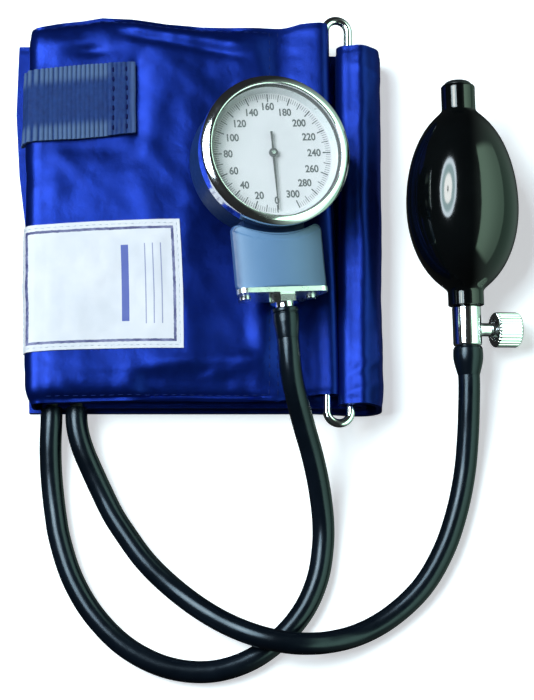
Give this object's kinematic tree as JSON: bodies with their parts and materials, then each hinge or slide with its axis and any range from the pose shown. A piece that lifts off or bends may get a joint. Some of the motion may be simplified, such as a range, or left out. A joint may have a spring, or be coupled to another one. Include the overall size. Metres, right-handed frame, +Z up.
{
  "type": "aneroid sphygmomanometer",
  "caption": "Folded blue arm cuff with ring closure, round dial gauge, squeeze bulb with release valve, and two rubber hoses.",
  "frame": {"origin": "a point on the face on which the folded cuff rests, midway between the two long edges of the cuff and 66.5 mm from the middle of the closing tail's end", "axes": "+Z up from the resting face; +X from the cuff towards the bulb; +Y away from the hoses, towards the cuff's far edge"},
  "size_m": [0.1921, 0.2539, 0.0646],
  "materials": {
    "cuff_blue": "woven nylon, slight sheen",
    "cuff_lining": "woven nylon",
    "elastic_navy": "ribbed elastic webbing",
    "label_satin": "white satin",
    "pile": "looped pile",
    "hooks": "moulded hooks",
    "bladder_rubber": "matt",
    "hose_rubber": "semi-gloss",
    "bulb_rubber": "glossy",
    "seal_rubber": "matt",
    "flap_rubber": "matt",
    "chrome": "polished",
    "steel": "fine brushed",
    "brass": "machined",
    "slate_plastic": "satin moulded",
    "black_plastic": "moulded",
    "lens_glass": "clear",
    "dial_white": "matt white with printed scale",
    "dial_ring": "satin silver",
    "pointer_black": "satin"
  },
  "bodies": {
    "cuff_set": {"cuff_outer_panel": "cuff_blue", "cuff_inner_panel": "cuff_lining", "bladder": "bladder_rubber", "bladder_nipples": "bladder_rubber", "loop_patch": "pile", "hook_patch": "hooks", "label": "label_satin", "gauge_strap": "elastic_navy", "gauge_case": "slate_plastic", "bezel": "chrome", "lens": "lens_glass", "lens_gasket": "seal_rubber", "dial_ring": "dial_ring", "dial_plate": "dial_white", "hairspring": "brass", "movement_base": "brass", "top_plate": "brass", "movement_pillars": "brass", "base_screws": "steel", "pillar_screws": "steel", "capsule": "brass", "inlet_pipe": "brass", "inlet_block": "brass", "end_plate": "chrome", "end_plate_screws": "steel", "gauge_nipple": "chrome", "rear_clip": "steel", "clip_rivets": "steel", "bulb": "bulb_rubber", "intake_valve_body": "black_plastic", "intake_retainer": "steel", "valve_body": "chrome", "outlet_valve_seat": "brass", "needle_packing": "seal_rubber", "hose_end_gauge": "hose_rubber", "hose_end_bulb": "hose_rubber", "hose_gauge": "hose_rubber", "hose_bulb": "hose_rubber"},
    "ring": {"closure_ring": "chrome"},
    "pointer_set": {"pointer": "pointer_black", "pinion_arbor": "steel"},
    "sector": {"sector_gear": "brass", "sector_arbor": "steel"},
    "rocker": {"rocker_shaft": "steel"},
    "stud": {"capsule_stud": "steel"},
    "flap": {"intake_flap": "flap_rubber"},
    "ball": {"outlet_ball": "steel"},
    "needle": {"release_needle": "steel"},
    "knob": {"release_knob": "chrome", "knob_screw": "steel"}
  },
  "joints": [
    {"name": "ring_swing", "type": "hinge", "parent": "cuff_set", "child": "ring", "pos_m": [0.0486, -0.0015, 0.0186], "axis": [0, 1, 0], "range_deg": [-2, 2]},
    {"name": "sector_swing", "type": "hinge", "parent": "cuff_set", "child": "sector", "pos_m": [0.01513, 0.01888, 0.05007], "axis": [0.2924, -0.05, 0.955], "range_deg": [0, 33.75], "stiffness_Nm_per_rad": 0.0006, "springref_deg": -5.73},
    {"name": "pointer_turn", "type": "hinge", "parent": "cuff_set", "child": "pointer_set", "pos_m": [0.02762, 0.01315, 0.04804], "axis": [-0.2924, 0.05, -0.955], "range_deg": [0, 337.5]},
    {"name": "rocker_turn", "type": "hinge", "parent": "cuff_set", "child": "rocker", "pos_m": [0.02578, 0.01943, 0.04432], "axis": [-0.9519, -0.1109, 0.2856], "range_deg": [0, 40]},
    {"name": "stud_lift", "type": "slide", "parent": "cuff_set", "child": "stud", "axis": [0.2924, -0.05, 0.955], "range_m": [0, 0.0015], "deforming": ["capsule"]},
    {"name": "intake_lift", "type": "slide", "parent": "cuff_set", "child": "flap", "axis": [0.0311, -0.9885, -0.1478], "range_m": [0, 0.0012]},
    {"name": "outlet_lift", "type": "slide", "parent": "cuff_set", "child": "ball", "axis": [0.0311, -0.9885, -0.1478], "range_m": [0, 0.0015]},
    {"name": "needle_travel", "type": "slide", "parent": "cuff_set", "child": "needle", "axis": [0.9492, 0.0755, -0.3056], "range_m": [0, 0.00121]},
    {"name": "knob_turn", "type": "hinge", "parent": "needle", "child": "knob", "pos_m": [0.11633, -0.04276, 0.00974], "axis": [0.9492, 0.0755, -0.3056], "range_deg": [0, 540]}
  ],
  "couplings": [
    {"joint": "pointer_turn", "follows": "sector_swing", "ratio": 10},
    {"joint": "rocker_turn", "follows": "sector_swing", "ratio": 1.185},
    {"joint": "stud_lift", "follows": "sector_swing", "m_per_rad": 0.00254},
    {"joint": "needle_travel", "follows": "knob_turn", "m_per_rad": 0.000127}
  ]
}
